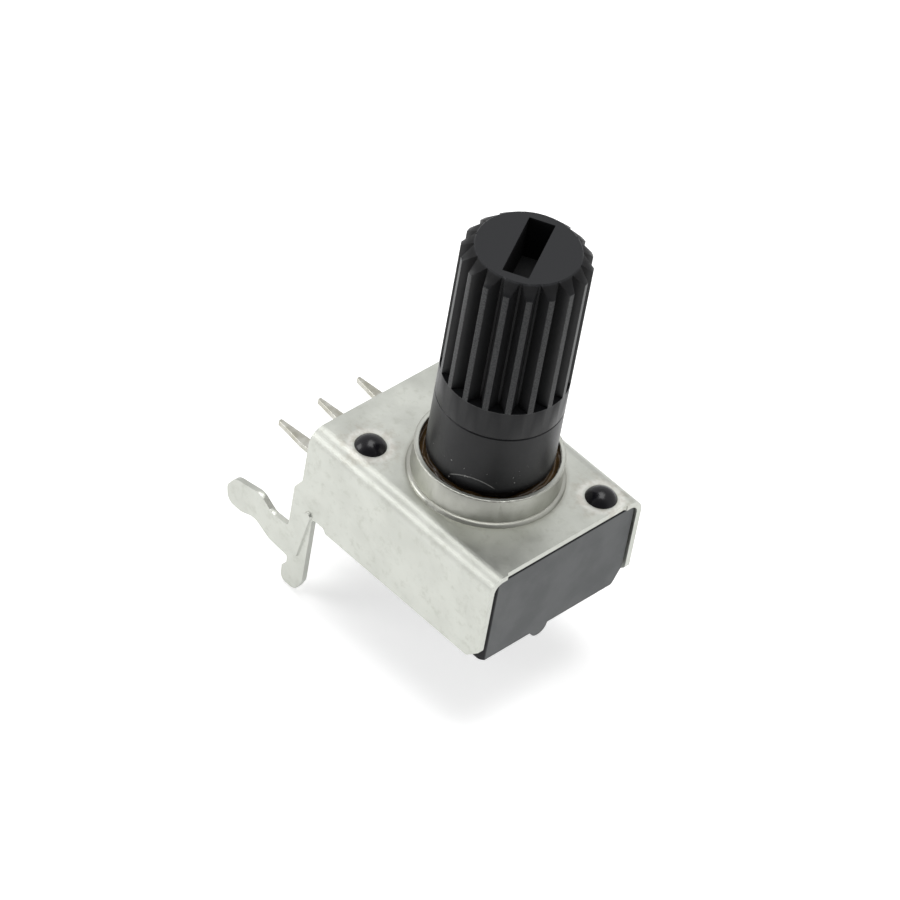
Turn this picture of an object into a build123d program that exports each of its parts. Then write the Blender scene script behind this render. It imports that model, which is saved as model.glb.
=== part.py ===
from build123d import *
import os

# A 9 mm class rotary potentiometer for board mounting, with its shaft parallel to the board.
# The origin is on the shaft's axis, in the top face of the steel cover. +Z runs out along the
# shaft, -X points at the board that the terminals enter, and Y runs across the two side walls.

# ---- steel cover ----
sheet = 0.30                # thickness of the tinned strip
body_width = 9.70           # over the two side walls
front_x = 5.50              # front edge of the cover
back_x = -6.65              # back edge of the cover
wall_drop = 5.10            # from the cover's top face down to the walls' lower edges
bend_radius = 0.80          # outside radius of the two side bends
wall_corner = 0.70          # chamfer on each wall's lower front corner
front_relief = 0.12         # the front edge is trimmed back between its two corners
corner_tab = 1.05           # width of each untrimmed front corner
collar_wall = 0.28          # thickness of the drawn collar
collar_height = 1.50        # collar rim above the top face
collar_root = 0.20          # fillet where the collar leaves the top face
draw_radius = 0.22          # inside radius under the collar
rim_round = 0.07            # rounding of the collar's rim
bead_height = 0.10          # stiffening bead pressed out of each lug

# ---- shaft ----
shaft_radius = 3.00
tip_z = 13.80               # shaft end
tip_set = 0.60              # width of the chamfer round the shaft's end
tip_bevel = 0.55            # height of that chamfer
ledge_z = 6.45              # where the serrations end
seam_z = 4.85               # fine parting groove round the plain band
seam_depth = 0.05
teeth = 18
tooth_phase = -2.0          # angle of one tooth from +X, in degrees
groove_depth = 0.56
groove_width = 0.80         # at the shaft's surface
groove_floor = 0.10
slot_angle = -62.0          # the screwdriver slot's long axis from +X, in degrees
slot_length = 3.90
slot_width = 1.24
slot_depth = 2.30
journal_clearance = 0.05    # radial running fit of the shaft in the collar
grease_gap = 0.25           # radial, from the shaft to the collar above the bearing land
journal_top = 0.45          # the bearing land stops below the rim
neck_top = 1.38             # the shaft is necked inside the collar, which holds the grease
neck_step = 0.18
flange_gap = 0.05           # under the cover
flange_thickness = 1.10
flange_lip = 0.10           # the flange reaches this far past the collar's bore
flange_rim_gap = 0.10       # from the flange to the stop on the housing
lug_rim_gap = 0.15          # from the lug on the flange to the chamber's wall
hub_radius = 1.15
pivot_radius = 0.60
pivot_clearance = 0.05

# ---- travel ----
travel = 280.0              # total turn of the shaft, in degrees
rest_turn = 28.0            # where the shaft stands from the middle of its travel
stop_lug_half = 18.0        # half the angle of the lug on the flange
stop_slack = 0.6            # angle left between lug and stop at each end of the travel
stop_lift = 0.25            # the stop ends this far above the wiper's plate

# ---- housing ----
housing_side_gap = 0.08     # to each side wall
housing_front_set = 0.12    # the moulding's face lies behind the cover's front edge
housing_back_set = 0.15
housing_bottom = 5.25       # below the cover's top face
front_bevel = 0.30          # on the upright front edge that faces -Y
top_bevel = 0.16            # on the front edge under the cover
foot_drop = 0.12            # low pad under the half of the moulding that faces -Y
foot_edge = -1.10           # where that pad ends, in Y
nub_drop = 0.52             # gate nub on the lower front edge
nub_width = 1.10
nub_y = -0.72
low_bevel_y = 0.50          # bevel on the lower corner that faces +Y
low_bevel_z = 0.90
chamber_radius = 4.05
chamber_floor = 2.90        # below the top face: also the resistor board's upper face
stake_x = 4.35
stake_y = 3.20
stake_radius = 0.62
stake_hole_clearance = 0.05
stake_head_radius = 0.77
stake_head_height = 0.46
stake_head_flat = 0.10       # radius of the flat that the hot tool leaves on top

# ---- resistor board and terminals ----
board_thickness = 0.80
board_side_wall = 0.43      # thickness of the housing beside the board's slot
board_front = 4.30          # its front end, tucked in past the chamber
board_back = -6.20
board_corner = 0.50
board_slide = 0.04          # clearance of the board in its slot, each way
print_thickness = 0.03      # carbon and silver prints
track_radius = 3.40
track_width = 0.70
track_gap_half = 28.0       # half the gap between the track's ends, in degrees
ring_radius = 1.90
ring_width = 0.60
terminal_pitch = 2.50
terminal_thickness = 0.30
terminal_tip_x = -10.70
terminal_width = 0.56
terminal_tip_width = 0.20
terminal_taper = 1.70       # length of the tapered end
terminal_pad = 1.50         # width of the part under the board
terminal_step = 0.20        # length over which a terminal narrows at the board's edge
rivet_x = -5.20
rivet_radius = 0.40
rivet_head_radius = 0.62
rivet_head = 0.14
rivet_clearance = 0.03

# ---- wiper ----
wiper_sheet = 0.12
wiper_gap = 0.02            # left under each contact tip
peg_radius = 0.30
peg_set = 1.00              # the two pegs stand this far inside the flange's edge
peg_clearance = 0.03
finger_width = 0.40
finger_reach = 2.30

# ---- values worked out from those above ----
half_width = body_width / 2
bore_radius = shaft_radius + grease_gap
collar_radius = bore_radius + collar_wall
tip_radius = shaft_radius - tip_set
flange_radius = bore_radius + flange_lip
neck_radius = shaft_radius - neck_step
journal_radius = bore_radius - journal_clearance
flange_top = -sheet - flange_gap
flange_bottom = flange_top - flange_thickness
board_top = -chamber_floor
board_bottom = board_top - board_thickness
terminal_top = board_bottom
terminal_bottom = terminal_top - terminal_thickness
housing_half = half_width - sheet - housing_side_gap
board_width = 2 * (housing_half - board_side_wall - board_slide)
housing_front = front_x - housing_front_set
housing_back = back_x + housing_back_set
stop_half = 180.0 - travel / 2 - stop_lug_half - stop_slack
ring_inner = ring_radius - ring_width / 2
ring_outer = ring_radius + ring_width / 2
track_inner = track_radius - track_width / 2
track_outer = track_radius + track_width / 2
print_top = board_top + print_thickness
peg_ring = flange_radius - peg_set
root_overlap = 0.10         # how far a raised feature runs into the body that carries it

os.makedirs("parts", exist_ok=True)


def finish(part, name):
    """Label a finished piece and write it to its own file."""
    part.label = name
    export_step(part, f"parts/{name}.step")
    print(f"{name}: {len(part.solids())} solid(s), {part.volume:.3f} mm3")


def polar(radius, degrees):
    """The point at this radius and angle about the shaft's axis."""
    return Vector(radius, 0, 0).rotate(Axis.Z, degrees)


# ---- cover: one strip of tinned steel, blanked, drawn and folded ----
# A lug's outline, as (behind the wall's back edge, below the wall's lower edge, corner radius).
# It steps out to a shoulder, throws one arm back into the board, and one leg down.
lug_outline = [
    (0.00, -1.95, 0.25),
    (0.43, -1.25, 0.25),
    (0.43, 1.33, 0.22),
    (1.52, 1.40, 0.70),
    (2.45, 0.86, 0.70),
    (4.15, 1.22, 0.60),
    (4.60, 1.95, 0.45),
    (4.42, 2.84, 0.50),
    (3.50, 2.86, 0.60),
    (2.60, 2.52, 0.80),
    (1.50, 3.02, 0.60),
    (0.20, 3.12, 0.12),
    (0.18, 3.55, 0.12),
    (0.44, 3.86, 0.15),
    (0.40, 4.73, 0.38),
    (-0.62, 4.73, 0.50),
    (-0.97, 3.90, 0.60),
    (-0.97, -0.22, 0.22),
    (-1.72, -0.22, 0.18),
    (-1.90, 0.00, 0.08),
]
wall_outline = [(back_x, -bend_radius, 0.0)]
wall_outline += [(back_x - back, -wall_drop - down, radius) for back, down, radius in lug_outline]
wall_outline += [
    (front_x - wall_corner, -wall_drop, 0.15),
    (front_x, -wall_drop + wall_corner, 0.15),
    (front_x, -bend_radius, 0.0),
]

# the bead runs from the lug's root down its leg
bead_start = Vector(back_x + 0.72, -wall_drop + 0.25)
bead_end = Vector(back_x + 0.28, -wall_drop - 2.45)
bead_middle = (bead_start + bead_end) / 2
bead_width = 0.46
stake_places = [Location((-stake_x, -stake_y)), Location((stake_x, stake_y))]


with BuildPart() as cover:
    # top plate with its two bends, as a folded channel
    with BuildSketch(Plane.YZ.offset(back_x)):
        with Locations((0, -2 * bend_radius)):
            RectangleRounded(body_width, 4 * bend_radius, bend_radius)
            RectangleRounded(
                body_width - 2 * sheet,
                4 * bend_radius - 2 * sheet,
                bend_radius - sheet,
                mode=Mode.SUBTRACT,
            )
        with Locations((0, -bend_radius)):
            Rectangle(body_width, 4 * bend_radius, align=(Align.CENTER, Align.MAX), mode=Mode.SUBTRACT)
    extrude(amount=front_x - back_x)

    # the two side walls, each with its lug
    with BuildSketch(Plane.XZ.offset(half_width)):
        with BuildLine():
            FilletPolyline(
                *[(x, z) for x, z, _ in wall_outline],
                radius=[radius for _, _, radius in wall_outline],
                close=True,
            )
        make_face()
    near_wall = extrude(amount=-sheet)
    mirror(near_wall, about=Plane.XZ)

    # stiffening bead pressed out of the leg of each lug
    with BuildSketch(Plane.XZ.offset(half_width)):
        SlotCenterPoint(bead_middle, bead_end, bead_width)
    near_bead = extrude(amount=bead_height, taper=30)
    mirror(near_bead, about=Plane.XZ)
    with BuildSketch(Plane.XZ.offset(half_width - sheet)):
        SlotCenterPoint(bead_middle, bead_end, bead_width - 2 * bead_height)
    near_dent = extrude(amount=bead_height, taper=30, mode=Mode.PRIVATE)
    add(near_dent, mode=Mode.SUBTRACT)
    add(near_dent.mirror(Plane.XZ), mode=Mode.SUBTRACT)

    # front edge trimmed back between the corners
    with BuildSketch(Plane.XY.offset(-sheet)):
        with Locations((front_x, 0)):
            RectangleRounded(2 * front_relief, body_width - 2 * corner_tab, front_relief * 0.95)
    extrude(amount=sheet, mode=Mode.SUBTRACT)

    # collar drawn up out of the plate, with its bore and the draw radius under it
    with BuildSketch(Plane.XZ):
        with BuildLine():
            Polyline(
                (bore_radius, collar_height - rim_round),
                (bore_radius, -sheet),
                (collar_radius + collar_root, -sheet),
                (collar_radius + collar_root, 0),
            )
            RadiusArc((collar_radius + collar_root, 0), (collar_radius, collar_root), -collar_root)
            Line((collar_radius, collar_root), (collar_radius, collar_height - rim_round))
            RadiusArc(
                (collar_radius, collar_height - rim_round),
                (collar_radius - rim_round, collar_height),
                -rim_round,
            )
            Line((collar_radius - rim_round, collar_height), (bore_radius + rim_round, collar_height))
            RadiusArc(
                (bore_radius + rim_round, collar_height),
                (bore_radius, collar_height - rim_round),
                -rim_round,
            )
        make_face()
    revolve(axis=Axis.Z)
    with BuildSketch(Plane.XY.offset(-sheet)):
        Circle(bore_radius)
    extrude(amount=sheet + collar_height, mode=Mode.SUBTRACT)
    mouth = cover.edges().filter_by(GeomType.CIRCLE).filter_by(
        lambda edge: abs(edge.radius - bore_radius) < 0.001 and abs(edge.center().Z + sheet) < 0.001
    )
    fillet(mouth, draw_radius)

    # holes for the two stakes
    with Locations(Plane.XY * stake_places[0], Plane.XY * stake_places[1]):
        Hole(stake_radius + stake_hole_clearance)

finish(cover.part, "cover")


# ---- housing: one moulding, with the two stakes that come up through the cover ----
top_round = bend_radius - sheet      # the moulding clears the inside of each bend
board_slot_half = board_width / 2 + board_slide
terminal_half_span = terminal_pitch + terminal_pad / 2 + board_slide

# the head that heat forms on each stake is a cap of a sphere
stake_head_sphere = (stake_head_radius**2 + stake_head_height**2) / (2 * stake_head_height)
with BuildPart() as stake_head:
    with BuildSketch(Plane.XZ):
        with BuildLine():
            Polyline(
                (stake_head_flat, stake_head_height),
                (0, stake_head_height),
                (0, 0),
                (stake_head_radius, 0),
            )
            RadiusArc(
                (stake_head_radius, 0),
                (stake_head_flat, stake_head_height),
                -stake_head_sphere,
            )
        make_face()
    revolve(axis=Axis.Z)

with BuildPart() as housing:
    # block, seen from the front: a low pad at one side and a bevelled corner at the other
    with BuildSketch(Plane.YZ.offset(housing_back)):
        with BuildLine():
            FilletPolyline(
                (-housing_half, -sheet),
                (-housing_half, -housing_bottom - foot_drop),
                (foot_edge, -housing_bottom - foot_drop),
                (foot_edge + foot_drop, -housing_bottom),
                (housing_half - low_bevel_y, -housing_bottom),
                (housing_half, -housing_bottom + low_bevel_z),
                (housing_half, -sheet),
                radius=[top_round, 0.22, 0.05, 0.05, 0.20, 0.20, top_round],
                close=True,
            )
        make_face()
    extrude(amount=housing_front - housing_back)
    with BuildSketch(Plane.XY.offset(-sheet)):
        Polygon(
            (housing_front, -housing_half),
            (housing_front, -housing_half + front_bevel),
            (housing_front - front_bevel, -housing_half),
            align=None,
        )
    extrude(amount=-housing_bottom, mode=Mode.SUBTRACT)
    with BuildSketch(Plane.XZ.offset(housing_half)):
        Polygon(
            (housing_front, -sheet),
            (housing_front, -sheet - top_bevel),
            (housing_front - top_bevel, -sheet),
            align=None,
        )
    extrude(amount=-2 * housing_half, mode=Mode.SUBTRACT)

    # gate nub on the lower front edge
    with BuildSketch(Plane.YZ.offset(housing_front)):
        with Locations((nub_y, -housing_bottom)):
            Circle(nub_drop)
    extrude(amount=-nub_width)

    # round chamber that the rotor turns in, and its stop
    with BuildSketch(Plane.XY.offset(board_top)):
        Circle(chamber_radius)
    extrude(amount=chamber_floor, mode=Mode.SUBTRACT)
    with BuildSketch(Plane.XY.offset(flange_bottom + stop_lift)):
        with BuildLine():
            stop_outer = CenterArc((0, 0), chamber_radius + root_overlap, 180 - stop_half, 2 * stop_half)
            stop_inner = CenterArc((0, 0), flange_radius + flange_rim_gap, 180 - stop_half, 2 * stop_half)
            Line(stop_outer @ 0, stop_inner @ 0)
            Line(stop_outer @ 1, stop_inner @ 1)
        make_face()
    extrude(amount=flange_thickness - stop_lift)

    # slot that the resistor board slides into from the back, and the space for rivets and terminals
    with BuildSketch(Plane.YZ.offset(housing_back)):
        with Locations((0, board_top)):
            Rectangle(
                2 * board_slot_half,
                board_thickness + board_slide,
                align=(Align.CENTER, Align.MAX),
            )
    extrude(amount=board_front + board_slide - housing_back, mode=Mode.SUBTRACT)
    with BuildSketch(Plane.YZ.offset(housing_back)):
        with Locations((0, board_bottom)):
            Rectangle(
                2 * terminal_half_span,
                terminal_thickness + rivet_head + board_slide,
                align=(Align.CENTER, Align.MAX),
            )
    extrude(amount=rivet_x + terminal_pad - housing_back, mode=Mode.SUBTRACT)
    with BuildSketch(Plane.YZ.offset(housing_back)):
        with Locations((0, board_top)):
            Rectangle(
                2 * terminal_half_span,
                print_thickness + rivet_head + board_slide,
                align=(Align.CENTER, Align.MIN),
            )
    extrude(amount=-ring_outer - housing_back, mode=Mode.SUBTRACT)

    # stakes with heat-formed heads
    with BuildSketch(Plane.XY.offset(-sheet)):
        with Locations(*stake_places):
            Circle(stake_radius)
    extrude(amount=sheet)
    with Locations(*stake_places):
        add(stake_head.part)

finish(housing.part, "housing")


# ---- rotor: shaft, bearing land, flange, stop lug and pivot in one moulding ----
with BuildPart() as rotor:
    with BuildSketch(Plane.XZ):
        with BuildLine():
            Polyline(
                (0, tip_z),
                (tip_radius, tip_z),
                (shaft_radius, tip_z - tip_bevel),
                (shaft_radius, seam_z + seam_depth),
                (shaft_radius - seam_depth, seam_z),
                (shaft_radius, seam_z - seam_depth),
                (shaft_radius, neck_top + neck_step),
                (neck_radius, neck_top),
                (neck_radius, journal_top + neck_step),
                (journal_radius, journal_top),
                (journal_radius, flange_top),
                (flange_radius, flange_top),
                (flange_radius, flange_bottom),
                (hub_radius, flange_bottom),
                (hub_radius, print_top + wiper_sheet),
                (pivot_radius, print_top + wiper_sheet),
                (pivot_radius, board_bottom),
                (0, board_bottom),
                close=True,
            )
        make_face()
    revolve(axis=Axis.Z)

    # serrations, from the ledge up through the end
    groove_reach = shaft_radius + 0.2
    groove_flare = groove_width / 2 + (groove_width - groove_floor) / 2 / groove_depth * 0.2
    with BuildSketch(Plane.XY.offset(ledge_z)):
        with PolarLocations(0, teeth, start_angle=tooth_phase + 180 / teeth):
            Polygon(
                (shaft_radius - groove_depth, -groove_floor / 2),
                (groove_reach, -groove_flare),
                (groove_reach, groove_flare),
                (shaft_radius - groove_depth, groove_floor / 2),
                align=None,
            )
    extrude(amount=tip_z - ledge_z, mode=Mode.SUBTRACT)

    # blind screwdriver slot in the end
    with BuildSketch(Plane.XY.offset(tip_z)):
        Rectangle(slot_length, slot_width, rotation=slot_angle)
    extrude(amount=-slot_depth, mode=Mode.SUBTRACT)

    # stop lug on the flange, on the wiper's side of the shaft
    with BuildSketch(Plane.XY.offset(flange_bottom)):
        with BuildLine():
            lug_start = rest_turn - stop_lug_half
            lug_outer = CenterArc((0, 0), chamber_radius - lug_rim_gap, lug_start, 2 * stop_lug_half)
            lug_inner = CenterArc((0, 0), flange_radius - root_overlap, lug_start, 2 * stop_lug_half)
            Line(lug_outer @ 0, lug_inner @ 0)
            Line(lug_outer @ 1, lug_inner @ 1)
        make_face()
    extrude(amount=flange_thickness)

    # pegs that carry the wiper
    with BuildSketch(Plane.XY.offset(flange_bottom)):
        with Locations(polar(peg_ring, rest_turn + 90), polar(peg_ring, rest_turn - 90)):
            Circle(peg_radius)
    extrude(amount=-2.0 * wiper_sheet)

finish(rotor.part, "rotor")


# ---- wiper: one bronze stamping, staked under the flange, with two sprung fingers ----
wiper_top = flange_bottom
wiper_drop = wiper_top - wiper_sheet - (print_top + wiper_gap)
wiper_inner = hub_radius + 0.20
wiper_outer = track_radius - 0.50
finger_root = -1.25         # where both fingers leave the plate, along the tangent
finger_tip_rise = 0.25
finger_slot_gap = 0.05      # each side of the inner finger
finger_arm = track_radius + finger_width / 2 - wiper_outer * 0.80

with BuildPart() as wiper:
    with BuildSketch(Plane.XY.offset(wiper_top)):
        Circle(wiper_outer)
        with PolarLocations(track_radius + finger_width / 2, 1, start_angle=rest_turn):
            with Locations((0, finger_root)):
                Rectangle(finger_arm, finger_width, align=(Align.MAX, Align.MAX))
        Circle(wiper_inner, mode=Mode.SUBTRACT)
        with PolarLocations(ring_radius, 1, start_angle=rest_turn):
            with Locations((0, finger_root)):
                Rectangle(
                    finger_width + 2 * finger_slot_gap,
                    finger_reach + 2 * finger_slot_gap,
                    align=(Align.CENTER, Align.MIN),
                    mode=Mode.SUBTRACT,
                )
        with PolarLocations(peg_ring, 2, start_angle=rest_turn + 90):
            Circle(peg_radius + peg_clearance, mode=Mode.SUBTRACT)
    extrude(amount=-wiper_sheet)

    # each finger slopes down from the plate to a rounded tip, just clear of its print
    for reach_radius in (ring_radius, track_radius):
        finger_plane = Plane(
            origin=polar(reach_radius, rest_turn) + Vector(0, 0, wiper_top),
            x_dir=polar(1, rest_turn + 90),
            z_dir=polar(1, rest_turn),
        )
        with BuildSketch(finger_plane):
            with BuildLine():
                FilletPolyline(
                    (finger_root - finger_width, 0),
                    (finger_root, 0),
                    (finger_root + finger_reach - 0.35, -wiper_drop),
                    (finger_root + finger_reach, -wiper_drop + finger_tip_rise),
                    radius=0.20,
                )
                offset(amount=wiper_sheet, side=Side.RIGHT)
            make_face()
        extrude(amount=finger_width / 2, both=True)

finish(wiper.part, "wiper")


# ---- resistor board: phenolic laminate, with its prints as thin pieces of their own ----
terminal_rows = [-terminal_pitch, 0.0, terminal_pitch]
rivet_places = [Location((rivet_x, row)) for row in terminal_rows]

with BuildPart() as board:
    with BuildSketch(Plane.XY.offset(board_bottom)):
        with Locations((board_back, 0)):
            Rectangle(board_front - board_back, board_width, align=(Align.MIN, Align.CENTER))
        Circle(pivot_radius + pivot_clearance, mode=Mode.SUBTRACT)
        with Locations(*rivet_places):
            Circle(rivet_radius + rivet_clearance, mode=Mode.SUBTRACT)
    extrude(amount=board_thickness)
    chamfer(board.edges().filter_by(Axis.Z).group_by(Axis.X)[-1], board_corner)

finish(board.part, "resistor_board")

track_end = 180 - track_gap_half
electrode_turn = 12.0       # angle of silver past each end of the carbon

with BuildPart() as track:
    with BuildSketch(Plane.XY.offset(board_top)):
        with BuildLine():
            carbon_outer = CenterArc((0, 0), track_outer, -track_end, 2 * track_end)
            carbon_inner = CenterArc((0, 0), track_inner, -track_end, 2 * track_end)
            Line(carbon_outer @ 0, carbon_inner @ 0)
            Line(carbon_outer @ 1, carbon_inner @ 1)
        make_face()
    extrude(amount=print_thickness)

finish(track.part, "carbon_track")

with BuildPart() as electrodes:
    with BuildSketch(Plane.XY.offset(board_top)):
        with BuildLine():
            silver_outer = CenterArc((0, 0), track_outer, track_end, electrode_turn)
            silver_inner = CenterArc((0, 0), track_inner, track_end, electrode_turn)
            Line(silver_outer @ 0, silver_inner @ 0)
            Line(silver_outer @ 1, silver_inner @ 1)
        make_face()
        with BuildLine():
            Polyline(
                polar(track_outer, track_end),
                polar(track_outer, track_end + electrode_turn),
                (rivet_x, terminal_pitch - rivet_head_radius),
                (rivet_x, terminal_pitch + rivet_head_radius),
                close=True,
            )
        make_face()
        with Locations((rivet_x, terminal_pitch)):
            Circle(rivet_head_radius)
            Circle(rivet_radius + rivet_clearance, mode=Mode.SUBTRACT)
    near_electrode = extrude(amount=print_thickness)
    mirror(near_electrode, about=Plane.XZ)

finish(electrodes.part, "end_electrodes")

with BuildPart() as collector:
    with BuildSketch(Plane.XY.offset(board_top)):
        Circle(ring_outer)
        with Locations((rivet_x, 0)):
            Rectangle(-rivet_x, rivet_head_radius, align=(Align.MIN, Align.CENTER))
            Circle(rivet_head_radius)
            Circle(rivet_radius + rivet_clearance, mode=Mode.SUBTRACT)
        Circle(ring_inner, mode=Mode.SUBTRACT)
    extrude(amount=print_thickness)

finish(collector.part, "collector_ring")


# ---- three terminals, riveted under the board, and their eyelets ----
for number, row in enumerate(terminal_rows, start=1):
    with BuildPart() as terminal:
        with BuildSketch(Plane.XY.offset(terminal_bottom)):
            with BuildLine():
                FilletPolyline(
                    (rivet_x + terminal_pad / 2, row + terminal_pad / 2),
                    (board_back, row + terminal_pad / 2),
                    (board_back - terminal_step, row + terminal_width / 2),
                    (terminal_tip_x + terminal_taper, row + terminal_width / 2),
                    (terminal_tip_x, row + terminal_tip_width / 2),
                    (terminal_tip_x, row - terminal_tip_width / 2),
                    (terminal_tip_x + terminal_taper, row - terminal_width / 2),
                    (board_back - terminal_step, row - terminal_width / 2),
                    (board_back, row - terminal_pad / 2),
                    (rivet_x + terminal_pad / 2, row - terminal_pad / 2),
                    radius=[0.3, 0.05, 0.05, 0.5, 0.07, 0.07, 0.5, 0.05, 0.05, 0.3],
                    close=True,
                )
            make_face()
            with Locations((rivet_x, row)):
                Circle(rivet_radius + rivet_clearance, mode=Mode.SUBTRACT)
        extrude(amount=terminal_thickness)
    finish(terminal.part, f"terminal_{number}")

with BuildPart() as eyelets:
    with BuildSketch(Plane.XY.offset(terminal_bottom - rivet_head)):
        with Locations(*rivet_places):
            Circle(rivet_head_radius)
    extrude(amount=rivet_head)
    with BuildSketch(Plane.XY.offset(terminal_bottom)):
        with Locations(*rivet_places):
            Circle(rivet_radius)
    extrude(amount=print_top - terminal_bottom)
    with BuildSketch(Plane.XY.offset(print_top)):
        with Locations(*rivet_places):
            Circle(rivet_head_radius * 0.9)
    extrude(amount=rivet_head)
    with BuildSketch(Plane.XY.offset(terminal_bottom - rivet_head)):
        with Locations(*rivet_places):
            Circle(rivet_radius * 0.6)
    extrude(amount=print_top + 2 * rivet_head - terminal_bottom, mode=Mode.SUBTRACT)

finish(eyelets.part, "terminal_eyelets")
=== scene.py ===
import math

import bmesh
import bpy
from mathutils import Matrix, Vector


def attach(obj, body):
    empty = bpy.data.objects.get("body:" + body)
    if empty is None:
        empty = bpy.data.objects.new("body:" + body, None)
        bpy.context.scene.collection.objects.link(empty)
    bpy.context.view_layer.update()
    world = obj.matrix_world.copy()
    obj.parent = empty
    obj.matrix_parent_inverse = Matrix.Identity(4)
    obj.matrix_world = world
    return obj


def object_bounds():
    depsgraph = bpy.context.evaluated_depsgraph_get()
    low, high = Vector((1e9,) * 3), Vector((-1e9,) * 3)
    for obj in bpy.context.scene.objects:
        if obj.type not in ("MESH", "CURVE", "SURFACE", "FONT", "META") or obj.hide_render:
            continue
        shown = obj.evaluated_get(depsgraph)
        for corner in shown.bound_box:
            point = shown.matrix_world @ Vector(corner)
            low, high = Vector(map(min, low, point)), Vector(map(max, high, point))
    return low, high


# A board-mounted rotary potentiometer: a folded tinned-steel cover over a black moulding, a
# serrated shaft, and three terminals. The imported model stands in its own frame, in metres.
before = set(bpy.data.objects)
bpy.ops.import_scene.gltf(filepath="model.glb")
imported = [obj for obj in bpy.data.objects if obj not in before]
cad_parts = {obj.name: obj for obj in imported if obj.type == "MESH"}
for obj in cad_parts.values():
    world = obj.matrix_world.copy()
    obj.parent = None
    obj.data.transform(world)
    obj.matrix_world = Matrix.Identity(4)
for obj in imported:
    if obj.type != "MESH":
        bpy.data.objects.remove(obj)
cad_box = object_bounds()


# ---- Cover ----
# A strip of tinned steel, blanked, drawn up into a collar and folded down into two side walls,
# each with a snap-in lug. The tin is soft and satin, clouded and mottled all over.
MM = 0.001


class Socket:
    """One output of a shader node, so that sums and products can be written out."""

    def __init__(self, sheet, link):
        self.sheet, self.link = sheet, link

    def join(self, operation, first, second):
        return self.sheet.node("ShaderNodeMath", {"operation": operation}, {0: first, 1: second})

    def __add__(self, other):
        return self.join("ADD", self, other)

    def __sub__(self, other):
        return self.join("SUBTRACT", self, other)

    def __rsub__(self, other):
        return self.join("SUBTRACT", other, self)

    def __mul__(self, other):
        return self.join("MULTIPLY", self, other)

    def __truediv__(self, other):
        return self.join("DIVIDE", self, other)

    def __pow__(self, other):
        return self.join("POWER", self, other)

    __radd__ = __add__
    __rmul__ = __mul__


class Finish:
    """A material built node by node on one Principled shader."""

    def __init__(self, name, **fixed):
        self.material = bpy.data.materials.new(name)
        self.material.use_nodes = True
        self.tree = self.material.node_tree
        self.shader = self.tree.nodes["Principled BSDF"]
        for socket, value in fixed.items():
            self.shader.inputs[socket.replace("_", " ")].default_value = value

    def node(self, kind, settings=None, values=None, output=0):
        """Any node: its settings are set first, then each socket gets a value or a link."""
        made = self.tree.nodes.new(kind)
        for key, value in (settings or {}).items():
            setattr(made, key, value)
        for key, value in (values or {}).items():
            if isinstance(value, Socket):
                self.tree.links.new(value.link, made.inputs[key])
            else:
                made.inputs[key].default_value = value
        return Socket(self, made.outputs[output])

    def place(self):
        return self.node("ShaderNodeTexCoord", output="Object")

    def axis(self, vector, which):
        return self.node("ShaderNodeSeparateXYZ", values={0: vector}, output="XYZ".index(which))

    def noise(self, size, detail=3.0, roughness=0.5, at=None):
        """Even noise whose blotches are about this size, in metres."""
        scale = {"Scale": 1.0 / size, "Detail": detail, "Roughness": roughness}
        return self.node("ShaderNodeTexNoise", values={"Vector": at or self.place(), **scale})

    def stretched(self, factors):
        """The object's place with each axis scaled, for grain that runs one way."""
        values = {0: self.place(), 1: factors}
        return self.node("ShaderNodeVectorMath", {"operation": "MULTIPLY"}, values)

    def range(self, value, low, high, start=0.0, end=1.0):
        values = {"Value": value, "From Min": low, "From Max": high, "To Min": start, "To Max": end}
        return self.node("ShaderNodeMapRange", {"interpolation_type": "SMOOTHSTEP"}, values)

    def mix(self, amount, first, second):
        settings = {"data_type": "RGBA"}
        values = {0: amount, 6: colour(first), 7: colour(second)}
        return self.node("ShaderNodeMix", settings, values, output=2)

    def near_point(self, centre):
        """How far away a point of the part's own frame is, both in millimetres."""
        values = {0: self.place(), 1: [part * MM for part in centre]}
        return self.node("ShaderNodeVectorMath", {"operation": "DISTANCE"}, values, output=1) / MM

    def least(self, first, second):
        return self.node("ShaderNodeMath", {"operation": "MINIMUM"}, {0: first, 1: second})

    def bump(self, height, strength, depth, under=None):
        values = {"Height": height, "Strength": strength, "Distance": depth}
        if under:
            values["Normal"] = under
        return self.node("ShaderNodeBump", values=values)

    def feed(self, **links):
        for socket, link in links.items():
            self.tree.links.new(link.link, self.shader.inputs[socket.replace("_", " ")])
        return self.material


def colour(value):
    """A link stays as it is; a plain colour gets its alpha."""
    return value if isinstance(value, Socket) else (*value, 1.0)


def dress(node, finish, rounding, segments=2, sharper_than=40):
    """A piece gets its finish. Its faces are joined, then its sharp edges broken by this much."""
    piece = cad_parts[node]
    for held in piece.material_slots:
        held.material = finish
    joined = piece.modifiers.new("joined", "WELD")
    joined.merge_threshold = 0.0005 * MM
    flat = piece.modifiers.new("flats", "DECIMATE")
    flat.decimate_type = "DISSOLVE"
    flat.angle_limit = math.radians(0.6)
    edge = piece.modifiers.new("broken_edge", "BEVEL")
    edge.width = rounding
    edge.segments = segments
    edge.limit_method = "ANGLE"
    edge.angle_limit = math.radians(sharper_than)
    edge.harden_normals = True
    even = piece.modifiers.new("even_shading", "WEIGHTED_NORMAL")
    even.keep_sharp = True


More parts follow.
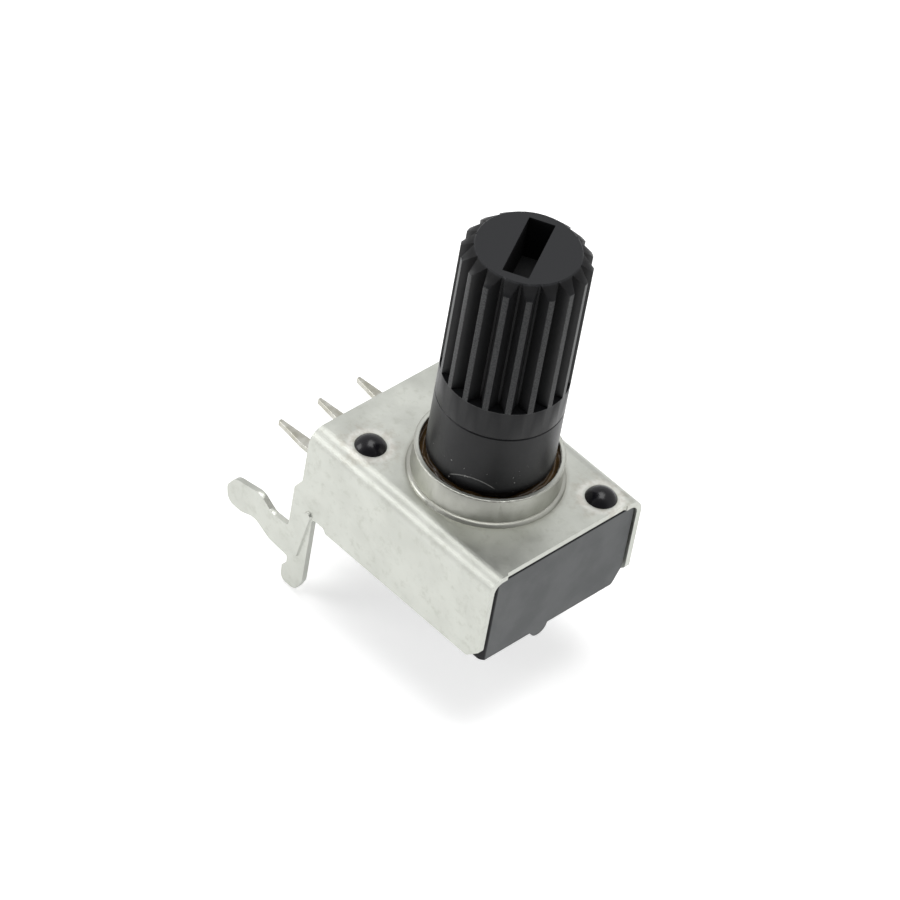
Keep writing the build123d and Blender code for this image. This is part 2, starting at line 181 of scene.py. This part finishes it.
tin = Finish("tinned_steel", Metallic=1.0)
tin_place = tin.place()
tin_x, tin_y, tin_z = [tin.axis(tin_place, letter) / MM for letter in "XYZ"]
tin_clouds = tin.noise(2.4 * MM, 4.0, 0.55)
tin_mottle = tin.noise(0.42 * MM, 4.0, 0.65)
tin_grain = tin.noise(0.11 * MM, 2.0, 0.5, tin.stretched((0.3, 1.0, 1.0)))
tin_tone = tin.mix(tin.range(tin_clouds, 0.3, 0.7), (0.520, 0.532, 0.490), (0.600, 0.613, 0.568))
tin_tone = tin.mix(tin.range(tin_mottle, 0.50, 0.72) * 0.45, tin_tone, (0.44, 0.45, 0.40))

# the plate is stained round each stake, and a ring where it is pressed round each stake gets a
# painted highlight; the collar's outer wall and root get painted shade, and its bore is greasy
stakes = ((-4.35, -3.20, 0.0), (4.35, 3.20, 0.0))
stake_spot = tin.least(*[tin.near_point(stake) for stake in stakes])
# painted highlight: a narrow lighter ring round each stake
stake_ring_highlight = tin.range(stake_spot, 0.80, 0.92) * tin.range(stake_spot, 1.25, 0.98)
tin_tone = tin.mix(stake_ring_highlight * 0.55, tin_tone, (0.80, 0.79, 0.75))
stake_stain = tin.range(stake_spot, 1.9, 1.1) * tin.range(tin_mottle, 0.40, 0.62)
tin_tone = tin.mix(stake_stain * 0.35, tin_tone, (0.40, 0.36, 0.30))
bore_reach = (tin_x ** 2.0 + tin_y ** 2.0) ** 0.5
bore_grease = tin.range(bore_reach, 3.36, 3.27) * tin.range(tin_z, 1.60, 1.20)
tin_tone = tin.mix(bore_grease * 0.8, tin_tone, (0.16, 0.105, 0.045))
# painted shade: the collar's outer wall and the crease at its root are made darker
collar_shade = tin.range(bore_reach, 3.95, 3.70) * tin.range(bore_reach, 3.40, 3.50)
tin_tone = tin.mix(collar_shade * 0.55, tin_tone, (0.33, 0.325, 0.285))
tin_rough = 0.33 + tin.range(tin_clouds, 0.3, 0.75) * 0.10 + tin_mottle * 0.10
tin_skin = tin.bump(tin_mottle, 0.22, 0.020 * MM, tin.bump(tin_clouds, 0.35, 0.05 * MM))
tin_skin = tin.bump(tin_grain, 0.10, 0.008 * MM, tin_skin)
tinned_steel = tin.feed(Base_Color=tin_tone, Roughness=tin_rough, Normal=tin_skin)
dress("cover", tinned_steel, 0.035 * MM, 2, 65)


# ---- Housing ----
# One black moulding that fills the cover, with two stakes that come up through it and are
# formed over with heat. Its open face shows the grey bloom of a glass-filled resin.
resin = Finish("glass_filled_resin", Specular_IOR_Level=0.32)
resin_place = resin.place()
resin_y, resin_z = [resin.axis(resin_place, letter) / MM for letter in "YZ"]
resin_speck = resin.noise(0.10 * MM, 3.0, 0.6)
resin_cloud = resin.noise(1.6 * MM, 3.0, 0.5)
resin_bloom = resin.range(resin_cloud, 0.3, 0.7)
face_tone = resin.mix(resin_bloom, (0.168, 0.175, 0.178), (0.209, 0.217, 0.219))
face_tone = resin.mix(resin.range(resin_speck, 0.60, 0.75) * 0.35, face_tone, (0.31, 0.315, 0.315))

# the face was scuffed grey, and the rest of the moulding keeps its black skin; the bands along
# the face's left and top bevels are made near-black as painted shade
black_skin_and_bevel_shade = 1.0 - resin.range(resin_y, -4.22, -4.12) * resin.range(resin_z, -0.42, -0.50)
face_tone = resin.mix(black_skin_and_bevel_shade, face_tone, (0.012, 0.012, 0.014))
melted = resin.range(resin_z, -0.05, 0.02)
resin_tone = resin.mix(melted, face_tone, (0.007, 0.0065, 0.009))
resin_rough = 0.55 + resin_speck * 0.15 - melted * 0.40
resin_skin = resin.bump(resin_speck * (1.0 - melted), 0.22, 0.012 * MM)
glass_filled_resin = resin.feed(Base_Color=resin_tone, Roughness=resin_rough, Normal=resin_skin)
dress("housing", glass_filled_resin, 0.05 * MM)


# ---- Rotor ----
# Shaft, flange and stop lug in one black moulding, with eighteen serrations and a slot across
# the end. It turns in the collar, and the flange below keeps it from being pulled out.
shaft = Finish("shaft_resin", Specular_IOR_Level=0.27)
shaft_x, shaft_y, shaft_z = [shaft.axis(shaft.place(), letter) / MM for letter in "XYZ"]
shaft_reach = (shaft_x ** 2.0 + shaft_y ** 2.0) ** 0.5
shaft_speck = shaft.noise(0.09 * MM, 3.0, 0.6)
shaft_cloud = shaft.noise(1.4 * MM, 3.0, 0.5)
deep_black, soft_black = (0.0060, 0.0063, 0.0075), (0.0105, 0.0108, 0.0120)
shaft_tone = shaft.mix(shaft.range(shaft_cloud, 0.3, 0.7), deep_black, soft_black)

# painted shade: the roots of the serrations and the slot are made near-black, and painted light
# makes the end face lighter than the sides
ledge_heights, tip_heights = (6.38, 6.44), (13.79, 13.74)
above_ledge = shaft.range(shaft_z, *ledge_heights)
# painted shade: the serration roots and the slot are made near-black
root_and_slot_shade = shaft.range(shaft_reach, 2.98, 2.62) * above_ledge * shaft.range(shaft_z, *tip_heights)
shaft_tone = shaft.mix(root_and_slot_shade * 0.80, shaft_tone, (0.003, 0.003, 0.0035))
# painted light: the end face of the shaft is made lighter than its sides
shaft_tone = shaft.mix(shaft.range(shaft_z, 13.70, 13.76), shaft_tone, (0.0165, 0.0172, 0.0195))

# the crests are made a lighter grey, in specks
crest = shaft.range(shaft_reach, 2.965, 2.99) * above_ledge
crest_grey = crest * shaft.range(shaft_speck, 0.25, 0.75) * 0.48
shaft_tone = shaft.mix(crest_grey, shaft_tone, (0.105, 0.108, 0.110))

# on the plain band: white dust near the collar, and one long thin pale arc
dust = shaft.range(shaft.noise(0.16 * MM, 2.0, 0.5), 0.71, 0.75) * shaft.range(shaft_z, 3.6, 2.0)
turn = shaft.node("ShaderNodeMath", {"operation": "ARCTAN2"}, {0: shaft_y, 1: shaft_x})
arc_turn, arc_height, arc_bow = 1.08, 2.21, 3.0
sweep = turn + arc_turn
off_arc = shaft_z - arc_height + sweep ** 2.0 * arc_bow
pale_arc = shaft.range(off_arc ** 2.0, 0.0016, 0.0002) * shaft.range(sweep ** 2.0, 0.15, 0.10)
marks = dust * 0.8 + pale_arc * shaft.range(shaft_cloud, 0.30, 0.45) * 0.5
shaft_tone = shaft.mix(marks, shaft_tone, (0.42, 0.42, 0.41))
shaft_rough = 0.30 + shaft_speck * 0.14 + root_and_slot_shade * 0.3
shaft_skin = shaft.bump(shaft_speck, 0.2, 0.010 * MM)
shaft_resin = shaft.feed(Base_Color=shaft_tone, Roughness=shaft_rough, Normal=shaft_skin)
dress("rotor", shaft_resin, 0.04 * MM)


# ---- Grease ----
# A thin amber ring of damping grease stands in the gap between the shaft and the collar. It was
# put in before the shaft, so its top creeps up unevenly on both walls.
grease_inner, grease_outer = 2.84 * MM, 3.26 * MM
grease_foot, grease_level = 0.50 * MM, 1.02 * MM
creep = (0.22, 0.05, -0.02, 0.06, 0.26)
waves = ((0.10, 3, 0.6), (0.06, 7, 2.1), (0.03, 17, 0.0))
grease_mesh = bpy.data.meshes.new("grease_ring")
shape = bmesh.new()
rings = []
steps = 144
for step in range(steps):
    angle = math.tau * step / steps
    swell = sum(tall * math.sin(count * angle + start) for tall, count, start in waves)
    ring = []
    for place, rise in enumerate(creep):
        reach = grease_inner + (grease_outer - grease_inner) * place / (len(creep) - 1)
        height = grease_level + (rise + swell) * MM
        ring.append(shape.verts.new((reach * math.cos(angle), reach * math.sin(angle), height)))
    for reach in (grease_outer, grease_inner):
        spot = (reach * math.cos(angle), reach * math.sin(angle), grease_foot)
        ring.append(shape.verts.new(spot))
    rings.append(ring)
for step, ring in enumerate(rings):
    following = rings[(step + 1) % steps]
    for corner in range(len(ring)):
        beside = (corner + 1) % len(ring)
        shape.faces.new((ring[corner], following[corner], following[beside], ring[beside]))
bmesh.ops.recalc_face_normals(shape, faces=shape.faces)
for face in shape.faces:
    face.smooth = True
shape.to_mesh(grease_mesh)
shape.free()
grease_piece = bpy.data.objects.new("grease_ring", grease_mesh)
bpy.context.scene.collection.objects.link(grease_piece)
grease = Finish("damping_grease", Roughness=0.18)
grease_streak = grease.noise(0.5 * MM, 3.0, 0.5)
grease_mesh.materials.append(
    grease.feed(
        Base_Color=grease.mix(grease_streak, (0.035, 0.020, 0.008), (0.16, 0.095, 0.035)),
        Normal=grease.bump(grease_streak, 0.3, 0.03 * MM),
    )
)
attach(grease_piece, "base")


# ---- Resistor board and its prints ----
# A punched strip of brown phenolic laminate. A carbon arc, a silver ring and two silver ends
# are printed on its upper face, for the wiper to run over.
laminate = Finish("phenolic_laminate", Roughness=0.5)
laminate_weave = laminate.noise(0.3 * MM, 4.0, 0.6)
laminate_tone = laminate.mix(laminate_weave, (0.25, 0.12, 0.04), (0.42, 0.23, 0.09))
laminate_skin = laminate.bump(laminate_weave, 0.2, 0.01 * MM)
phenolic = laminate.feed(Base_Color=laminate_tone, Normal=laminate_skin)
dress("resistor_board", phenolic, 0.03 * MM)

ink = Finish("carbon_print", Roughness=0.6)
ink_grain = ink.noise(0.08 * MM, 4.0, 0.7)
carbon = ink.feed(
    Base_Color=ink.mix(ink_grain, (0.012, 0.012, 0.013), (0.035, 0.035, 0.036)),
    Normal=ink.bump(ink_grain, 0.4, 0.006 * MM),
)
dress("carbon_track", carbon, 0.004 * MM, 1)

paste = Finish("silver_print", Metallic=0.8, Roughness=0.45)
paste_grain = paste.noise(0.07 * MM, 4.0, 0.7)
silver = paste.feed(
    Base_Color=paste.mix(paste_grain, (0.5, 0.49, 0.46), (0.75, 0.74, 0.70)),
    Normal=paste.bump(paste_grain, 0.4, 0.006 * MM),
)
dress("end_electrodes", silver, 0.004 * MM, 1)
dress("collector_ring", silver, 0.004 * MM, 1)


# ---- Wiper ----
# A phosphor-bronze stamping, staked to pegs under the flange so that it turns with the shaft.
# Its two fingers reach down to the prints.
bronze = Finish("phosphor_bronze", Metallic=1.0, Roughness=0.32)
bronze_grain = bronze.noise(0.15 * MM, 3.0, 0.5, bronze.stretched((0.2, 1.0, 1.0)))
spring_bronze = bronze.feed(
    Base_Color=bronze.mix(bronze_grain, (0.62, 0.38, 0.20), (0.78, 0.52, 0.30)),
    Roughness=0.26 + bronze_grain * 0.14,
    Normal=bronze.bump(bronze_grain, 0.2, 0.006 * MM),
)
dress("wiper", spring_bronze, 0.015 * MM)


# ---- Terminals ----
# Three flat tinned tongues, tapered to the tips that enter the circuit board. Each is riveted
# under the resistor board with a brass eyelet.
lead = Finish("terminal_tin", Metallic=1.0, Roughness=0.32)
lead_cloud = lead.noise(0.5 * MM, 4.0, 0.6)
lead_tone = lead.mix(lead.range(lead_cloud, 0.35, 0.65), (0.42, 0.41, 0.35), (0.56, 0.555, 0.51))
terminal_tin = lead.feed(
    Base_Color=lead_tone,
    Roughness=0.24 + lead_cloud * 0.2,
    Normal=lead.bump(lead_cloud, 0.3, 0.012 * MM),
)
for number in (1, 2, 3):
    dress(f"terminal_{number}", terminal_tin, 0.04 * MM)

brass = Finish("eyelet_brass", Metallic=1.0, Roughness=0.3)
brass_cloud = brass.noise(0.3 * MM, 3.0, 0.6)
eyelet_brass = brass.feed(
    Base_Color=brass.mix(brass_cloud, (0.66, 0.48, 0.20), (0.82, 0.64, 0.34)),
    Normal=brass.bump(brass_cloud, 0.2, 0.01 * MM),
)
dress("terminal_eyelets", eyelet_brass, 0.03 * MM)


# ---- Floor, light and camera ----
# The floor is a seamless white sheet just under the longest lug. Two soft panels light it, one
# overhead and one from the side, and the camera looks down at the part through a long lens.
floor_mesh = bpy.data.meshes.new("floor")
floor_z = cad_box[0].z - 0.2 * MM
half = 0.6
corners = [(-half, -half), (half, -half), (half, half), (-half, half)]
floor_mesh.from_pydata([(x, y, floor_z) for x, y in corners], [], [(0, 1, 2, 3)])
floor = bpy.data.objects.new("floor", floor_mesh)
bpy.context.scene.collection.objects.link(floor)

paper = Finish("floor_paper", Roughness=0.9)
paper_grain = paper.noise(30 * MM, 2.0, 0.5)
paper.feed(Base_Color=paper.mix(paper_grain, (0.88, 0.88, 0.88), (0.90, 0.90, 0.90)))
seen = paper.node("ShaderNodeLightPath") + paper.node("ShaderNodeLightPath", output="Is Glossy Ray")
lift = paper.node("ShaderNodeEmission", values={"Color": (1, 1, 1, 1), "Strength": seen * 0.55})
plain = Socket(paper, paper.shader.outputs[0])
lit = paper.node("ShaderNodeAddShader", values={0: plain, 1: lift})
paper.tree.links.new(lit.link, paper.tree.nodes["Material Output"].inputs["Surface"])
floor_mesh.materials.append(paper.material)

# the room is white all round, and darker on the side where the camera stands
world = bpy.data.worlds.new("studio")
bpy.context.scene.world = world
world.use_nodes = True


class Room(Finish):
    """The same way of writing nodes, for the world's own tree."""

    def __init__(self, kept):
        self.material, self.tree = kept, kept.node_tree
        self.shader = self.tree.nodes["Background"]


room = Room(world)
toward = room.node("ShaderNodeTexCoord", output="Generated")
camera_side = {0: toward, 1: (0.60, -0.74, 0.30)}
front = room.node("ShaderNodeVectorMath", {"operation": "DOT_PRODUCT"}, camera_side, 1)
shade = 1.0 - room.range(front, 0.25, 0.90) * 0.72
to_camera = room.node("ShaderNodeLightPath")
to_gloss = room.node("ShaderNodeLightPath", output="Is Glossy Ray")
plain_light = (0.42 + to_gloss * 0.40) * shade
room.shader.inputs["Color"].default_value = (1, 1, 1, 1)
room.feed(Strength=to_camera + (1.0 - to_camera) * plain_light)


def panel(name, place, size, power):
    """A soft square lamp aimed at the object."""
    lamp = bpy.data.lights.new(name, "AREA")
    lamp.shape, lamp.size, lamp.energy = "SQUARE", size, power
    holder = bpy.data.objects.new(name, lamp)
    holder.location = place
    holder.rotation_euler = (-Vector(place)).to_track_quat("-Z", "Y").to_euler()
    bpy.context.scene.collection.objects.link(holder)


panel("top_panel", (-0.02, 0.03, 0.42), 0.26, 0.9)
panel("side_panel", (-0.30, -0.26, 0.16), 0.20, 0.5)

camera = bpy.data.cameras.new("camera")
camera.sensor_width = 36.0
camera.lens = 240.0
camera.clip_start, camera.clip_end = 0.01, 10.0
viewer = bpy.data.objects.new("camera", camera)
viewer.location = (125.41 * MM, -155.64 * MM, 187.77 * MM)
viewer.rotation_euler = [math.radians(angle) for angle in (46.434, -7.719, 46.654)]
bpy.context.scene.collection.objects.link(viewer)
bpy.context.scene.camera = viewer
bpy.context.scene.view_settings.view_transform = "Standard"
